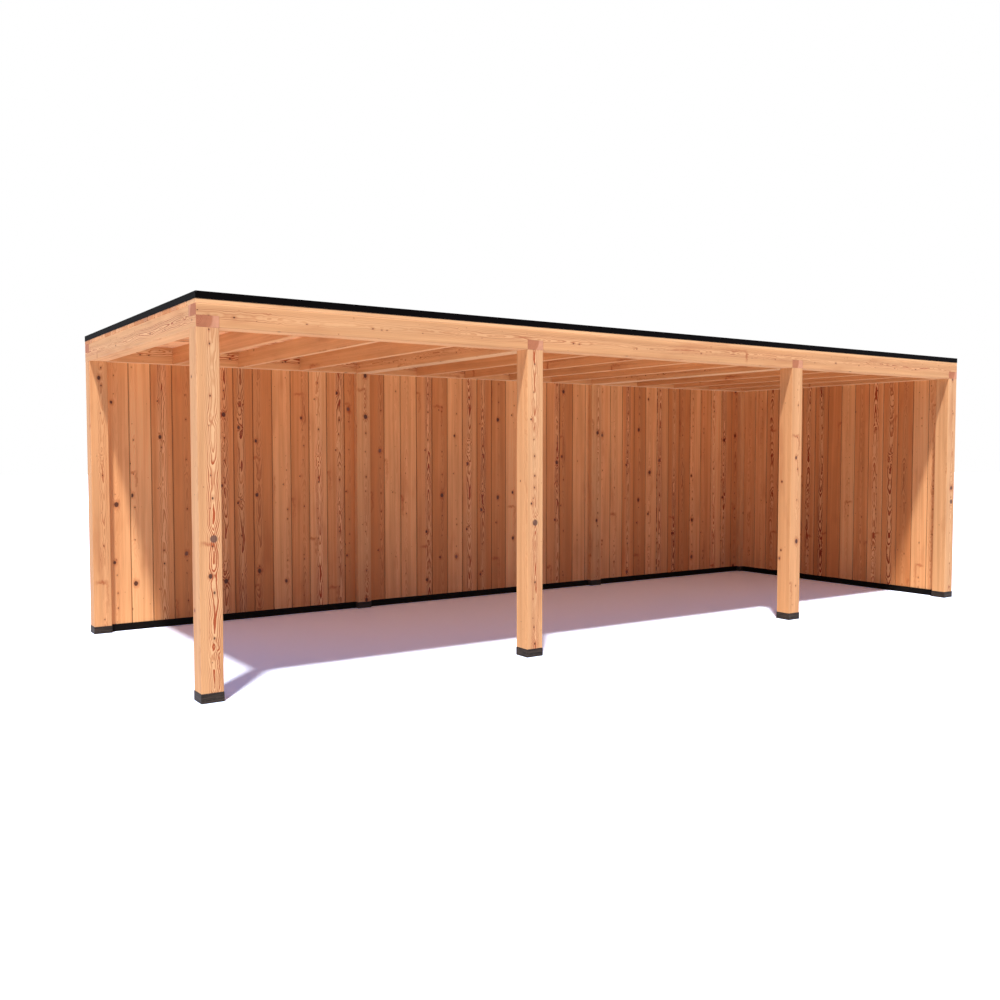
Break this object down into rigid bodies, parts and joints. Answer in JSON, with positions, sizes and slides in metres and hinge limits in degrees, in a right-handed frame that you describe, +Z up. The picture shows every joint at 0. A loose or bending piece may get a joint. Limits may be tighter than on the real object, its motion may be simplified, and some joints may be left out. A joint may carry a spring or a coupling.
{
  "type": "carport",
  "caption": "Timber carport with a flat roof, an open front and one open end; boarded walls close the back and the other end, on posts with black feet.",
  "frame": {"origin": "on the ground, in the middle of the footprint", "axes": "+X along the open front towards the closed end, +Y to the back wall, +Z up"},
  "size_m": [8.15, 3.03, 2.556],
  "materials": {
    "frame_timber": "planed softwood with a reddish grain and small knots",
    "wall_boards": "planed boards with a V at each joint, varied in tone",
    "roof_boards": "planed boards with a V at each joint",
    "black_base": "black composite, faintly streaked",
    "roof_membrane": "matt black sheet with lapped seams",
    "roof_trim": "black powder coat"
  },
  "bodies": {
    "root": {"front_post_left": "frame_timber", "front_post_mid_left": "frame_timber", "front_post_mid_right": "frame_timber", "front_post_right": "frame_timber", "back_post_left": "frame_timber", "back_post_mid_left": "frame_timber", "back_post_mid_right": "frame_timber", "back_post_right": "frame_timber", "front_foot_left": "black_base", "front_foot_mid_left": "black_base", "front_foot_mid_right": "black_base", "front_foot_right": "black_base", "back_foot_left": "black_base", "back_foot_mid_left": "black_base", "back_foot_mid_right": "black_base", "back_foot_right": "black_base", "front_beam": "frame_timber", "back_beam": "frame_timber", "cross_beam_left": "frame_timber", "cross_beam_mid_left": "frame_timber", "cross_beam_mid_right": "frame_timber", "cross_beam_right": "frame_timber", "joist_1": "frame_timber", "joist_2": "frame_timber", "joist_3": "frame_timber", "joist_4": "frame_timber", "joist_5": "frame_timber", "joist_6": "frame_timber", "joist_7": "frame_timber", "joist_8": "frame_timber", "joist_9": "frame_timber", "joist_10": "frame_timber", "back_wall_left": "wall_boards", "back_wall_middle": "wall_boards", "back_wall_right": "wall_boards", "back_sill_left": "black_base", "back_sill_middle": "black_base", "back_sill_right": "black_base", "right_wall": "wall_boards", "right_sill": "black_base", "roof_deck": "roof_boards", "roof_membrane": "roof_membrane", "roof_trim_front": "roof_trim", "roof_trim_right": "roof_trim", "roof_trim_back": "roof_trim", "roof_trim_left": "roof_trim"}
  },
  "joints": []
}
